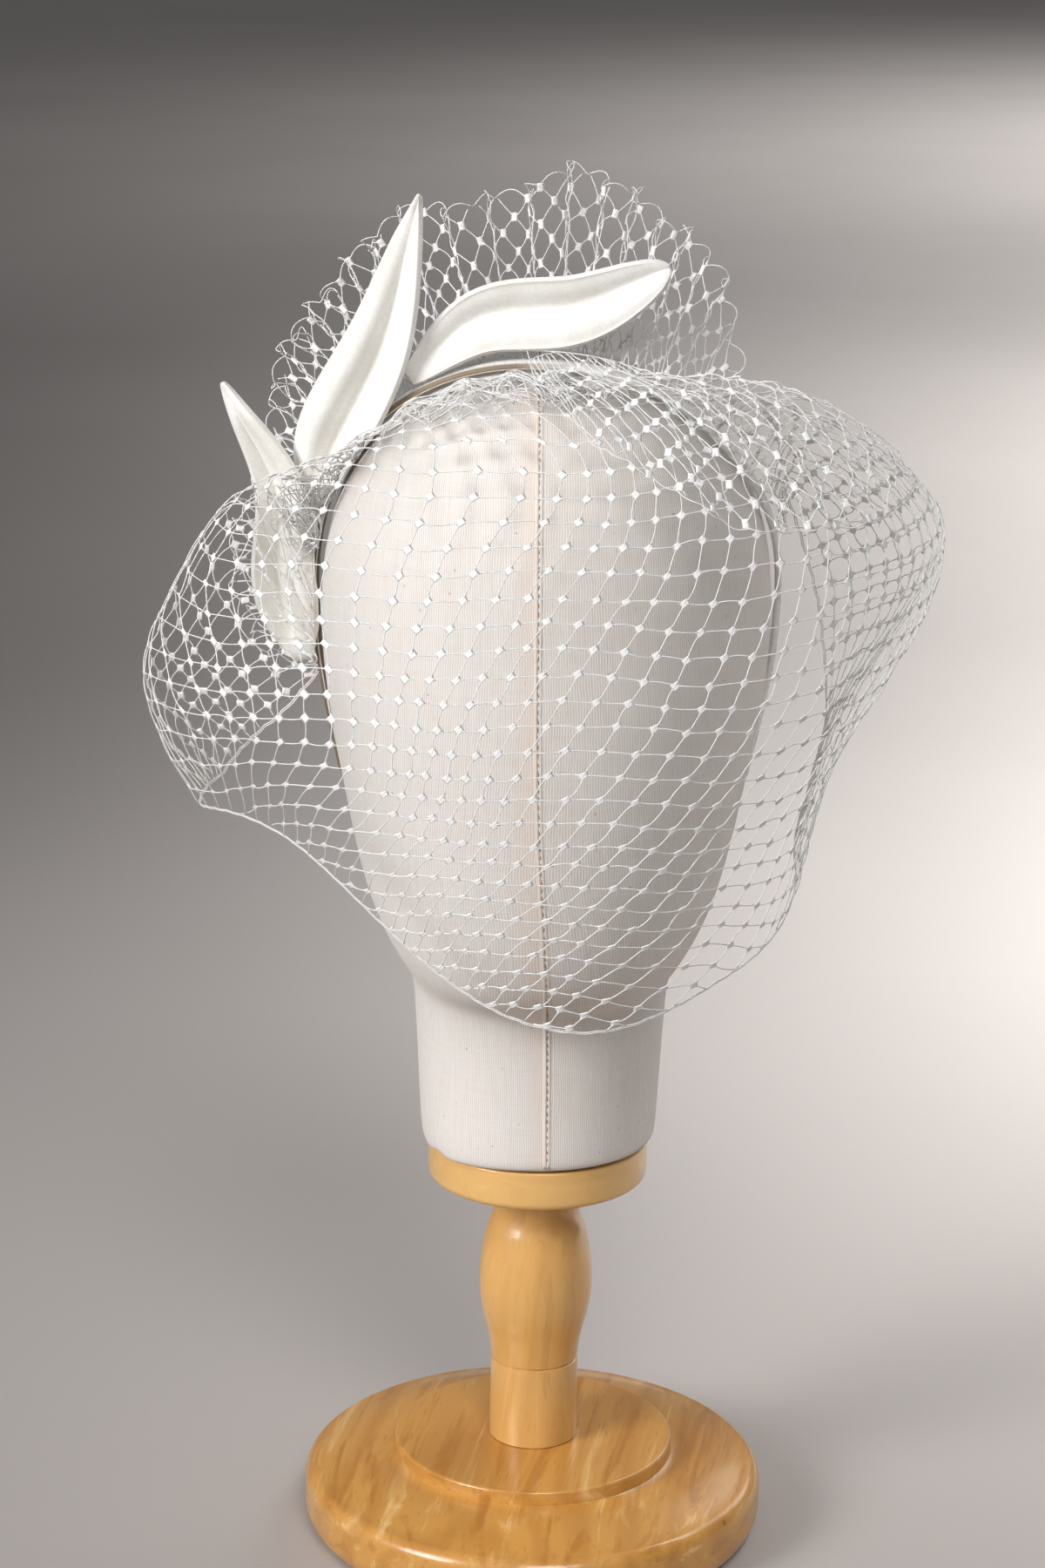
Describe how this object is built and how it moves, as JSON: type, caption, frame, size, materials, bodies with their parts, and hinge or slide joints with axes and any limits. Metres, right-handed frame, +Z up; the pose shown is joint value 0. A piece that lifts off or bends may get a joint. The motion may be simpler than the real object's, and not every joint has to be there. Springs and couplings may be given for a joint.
{
  "type": "birdcage veil on a head form stand",
  "caption": "Net birdcage veil gathered to a wrapped hair band with felt leaves, set on a plain cloth-covered head form that stands on a turned wooden foot, for display and fitting.",
  "frame": {"origin": "centre of the base's underside, on the surface it stands on", "axes": "+Z up the stand; the veiled face looks along -Y; +X to the right as the face is looked at"},
  "size_m": [0.2826, 0.2138, 0.5093],
  "materials": {
    "wood": "satin varnish over turned wood",
    "linen": "plain unbleached linen weave",
    "band_wrap": "wire wrapped in white cloth tape",
    "net": "white knotted net",
    "felt": "off-white pressed wool felt"
  },
  "bodies": {
    "root": {"stand_base": "wood", "stand_post": "wood", "neck_collar": "wood", "head_form": "linen", "hair_band": "band_wrap", "veil_face": "net", "veil_frill": "net", "veil_top_layer": "net", "leaf_low": "felt", "leaf_tall": "felt", "leaf_top": "felt"}
  },
  "joints": []
}
